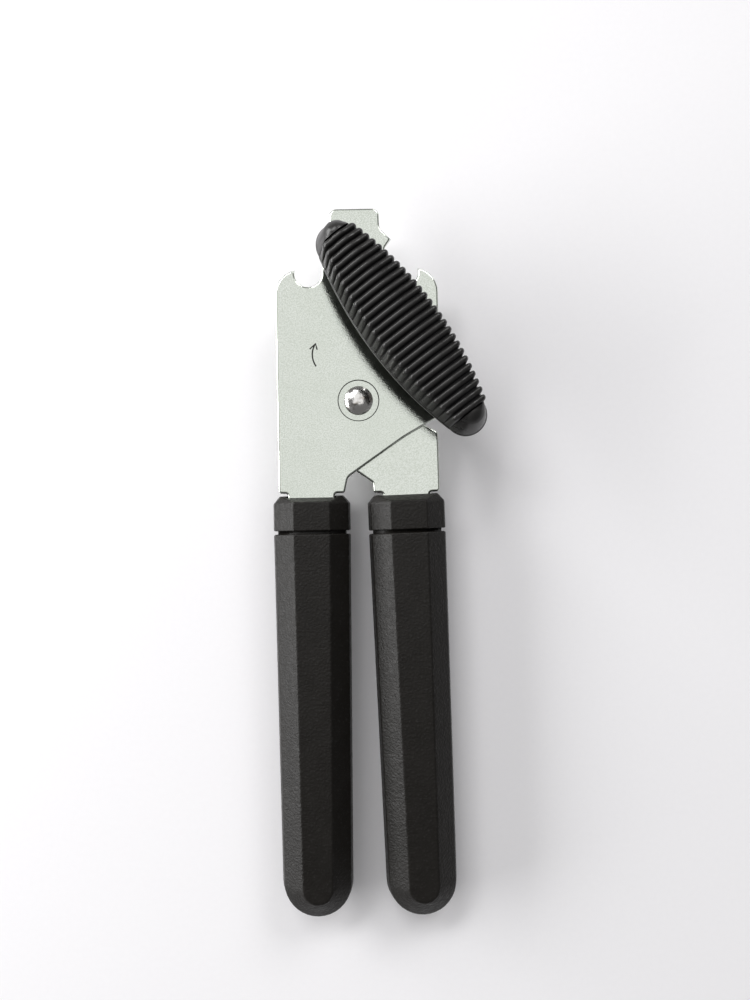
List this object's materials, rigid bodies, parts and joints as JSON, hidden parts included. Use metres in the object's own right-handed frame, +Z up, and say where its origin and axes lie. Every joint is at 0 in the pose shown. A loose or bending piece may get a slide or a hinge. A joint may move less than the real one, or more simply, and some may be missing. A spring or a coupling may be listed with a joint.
{
  "type": "manual can opener",
  "caption": "Hand-held can opener with two hinged steel plates, long faceted black handles, a ribbed turning knob and a gear-driven feed wheel and round cutter.",
  "frame": {"origin": "middle of the footprint, on the surface that the opener lies on", "axes": "+Y from the handles to the head, +X to the side of the swinging handle, +Z up through the turning knob"},
  "size_m": [0.0568, 0.1923, 0.033],
  "materials": {
    "plated_steel": "satin nickel plating",
    "polished_steel": "polished",
    "hardened_steel": "satin, hardened",
    "handle_plastic": "fine moulded grain",
    "knob_plastic": "soft satin"
  },
  "bodies": {
    "front_half": {"front_plate": "plated_steel", "left_bolster": "handle_plastic", "left_grip": "handle_plastic", "pivot_rivet": "polished_steel", "pivot_washer": "plated_steel", "drive_bushing": "hardened_steel"},
    "back_half": {"back_plate": "plated_steel", "right_bolster": "handle_plastic", "right_grip": "handle_plastic", "cutter_axle": "hardened_steel"},
    "drive": {"knob": "knob_plastic", "drive_shaft": "hardened_steel", "feed_wheel": "hardened_steel", "drive_gear": "hardened_steel", "spring_washer": "hardened_steel", "thrust_washer": "hardened_steel"},
    "cutter": {"cutter_wheel": "hardened_steel", "cutter_gear": "hardened_steel", "cutter_spacer": "hardened_steel", "cutter_washer": "hardened_steel"}
  },
  "joints": [
    {"name": "handle_pivot", "type": "hinge", "parent": "front_half", "child": "back_half", "pos_m": [-0.00465, 0.04426, 0.00995], "axis": [0, 0, 1], "range_deg": [0, 45]},
    {"name": "knob_turn", "type": "hinge", "parent": "front_half", "child": "drive", "pos_m": [0.00648, 0.06099, 0.00995], "axis": [0, 0, 1], "continuous": true},
    {"name": "cutter_spin", "type": "hinge", "parent": "back_half", "child": "cutter", "pos_m": [-0.00802, 0.06469, 0.004], "axis": [0, 0, 1], "continuous": true}
  ],
  "couplings": [
    {"joint": "cutter_spin", "follows": "knob_turn", "ratio": -1}
  ]
}
